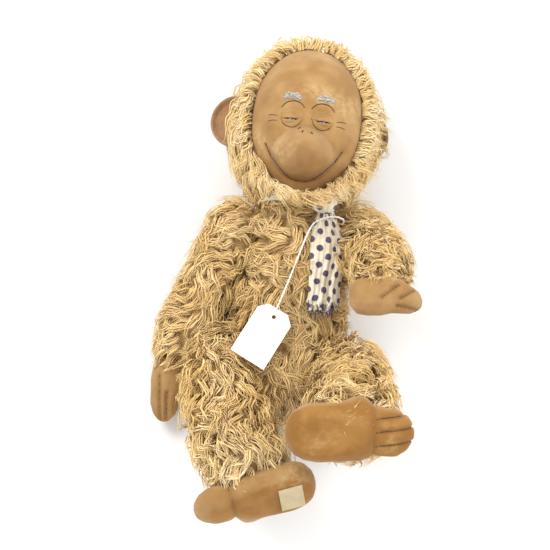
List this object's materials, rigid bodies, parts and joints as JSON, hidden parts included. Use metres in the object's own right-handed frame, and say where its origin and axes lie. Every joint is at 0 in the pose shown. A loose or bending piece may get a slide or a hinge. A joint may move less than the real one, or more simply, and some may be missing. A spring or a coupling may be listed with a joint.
{
  "type": "jointed stuffed monkey",
  "caption": "Old jointed mohair monkey lying on its back, velveteen face, hands and feet, spotted tie, blank paper ticket on a string.",
  "frame": {"origin": "middle of the flat on the back that the toy lies on", "axes": "+X to the toy's left, +Y from the feet to the head, +Z out of the front"},
  "size_m": [0.1907, 0.3597, 0.1446],
  "materials": {
    "mohair": "long curly golden mohair pile",
    "velveteen": "short rubbed velveteen, tan brown",
    "felt": "wool felt, brown",
    "wood_wool": "packed wood wool",
    "hardboard": "hardboard disc",
    "steel": "plain steel",
    "eye_glass": "dark blue glass",
    "brow_wool": "greyish white wool tuft",
    "spotted_cotton": "cream cotton with dark blue spots",
    "string": "twisted white cotton",
    "card": "blank white ticket card",
    "woven_tape": "blank woven tape"
  },
  "bodies": {
    "torso": {"torso_cover": "mohair", "torso_stuffing": "wood_wool", "shoulder_right_torso_disc": "hardboard", "shoulder_right_torso_washer": "steel", "shoulder_left_torso_disc": "hardboard", "shoulder_left_torso_washer": "steel", "hip_right_torso_disc": "hardboard", "hip_right_torso_washer": "steel", "hip_left_torso_disc": "hardboard", "hip_left_torso_washer": "steel", "neck_torso_disc": "hardboard", "neck_torso_washer": "steel", "neck_band": "spotted_cotton", "tie_knot": "spotted_cotton"},
    "arm_right": {"arm_right_cover": "mohair", "arm_right_stuffing": "wood_wool", "hand_right": "velveteen", "shoulder_right_limb_disc": "hardboard", "shoulder_right_limb_washer": "steel", "shoulder_right_cotter_pin": "steel"},
    "arm_left": {"arm_left_cover": "mohair", "arm_left_stuffing": "wood_wool", "hand_left": "velveteen", "shoulder_left_limb_disc": "hardboard", "shoulder_left_limb_washer": "steel", "shoulder_left_cotter_pin": "steel"},
    "leg_right": {"leg_right_cover": "mohair", "leg_right_stuffing": "wood_wool", "foot_right_upper": "velveteen", "foot_right_sole": "velveteen", "foot_label": "woven_tape", "hip_right_limb_disc": "hardboard", "hip_right_limb_washer": "steel", "hip_right_cotter_pin": "steel"},
    "leg_left": {"leg_left_cover": "mohair", "leg_left_stuffing": "wood_wool", "foot_left_upper": "velveteen", "foot_left_sole": "velveteen", "hip_left_limb_disc": "hardboard", "hip_left_limb_washer": "steel", "hip_left_cotter_pin": "steel"},
    "head": {"neck_limb_disc": "hardboard", "neck_limb_washer": "steel", "neck_cotter_pin": "steel", "eye_right": "eye_glass", "eyelid_right": "felt", "eyebrow_right": "brow_wool", "ear_right": "felt", "eye_left": "eye_glass", "eyelid_left": "felt", "eyebrow_left": "brow_wool", "ear_left": "felt", "muzzle": "velveteen", "head_cover": "mohair", "head_stuffing": "wood_wool", "face_mask": "velveteen"},
    "tie": {"tie_blade": "spotted_cotton"},
    "ticket": {"ticket_string": "string", "ticket": "card"}
  },
  "joints": [
    {"name": "neck_swivel", "type": "hinge", "parent": "torso", "child": "head", "pos_m": [0, 0.088, 0.044], "axis": [0.0262, 0.9997, 0], "continuous": true},
    {"name": "shoulder_right_swing", "type": "hinge", "parent": "torso", "child": "arm_right", "pos_m": [-0.029, 0.056, 0.036], "axis": [-1, 0, 0], "range_deg": [-40, 90]},
    {"name": "shoulder_left_swing", "type": "hinge", "parent": "torso", "child": "arm_left", "pos_m": [0.029, 0.056, 0.036], "axis": [-1, 0, 0], "range_deg": [-20, 35]},
    {"name": "hip_right_swing", "type": "hinge", "parent": "torso", "child": "leg_right", "pos_m": [-0.028, -0.041, 0.034], "axis": [-1, 0, 0], "range_deg": [-50, 5]},
    {"name": "hip_left_swing", "type": "hinge", "parent": "torso", "child": "leg_left", "pos_m": [0.028, -0.041, 0.034], "axis": [-1, 0, 0], "range_deg": [-4, 32]},
    {"name": "tie_lift", "type": "hinge", "parent": "torso", "child": "tie", "pos_m": [0.02, 0.074, 0.072], "axis": [-1, 0, 0], "range_deg": [0, 26]},
    {"name": "ticket_swing", "type": "hinge", "parent": "tie", "child": "ticket", "pos_m": [0.02, 0.07, 0.077], "axis": [-0.9172, 0.3983, 0], "range_deg": [0, 34]}
  ]
}
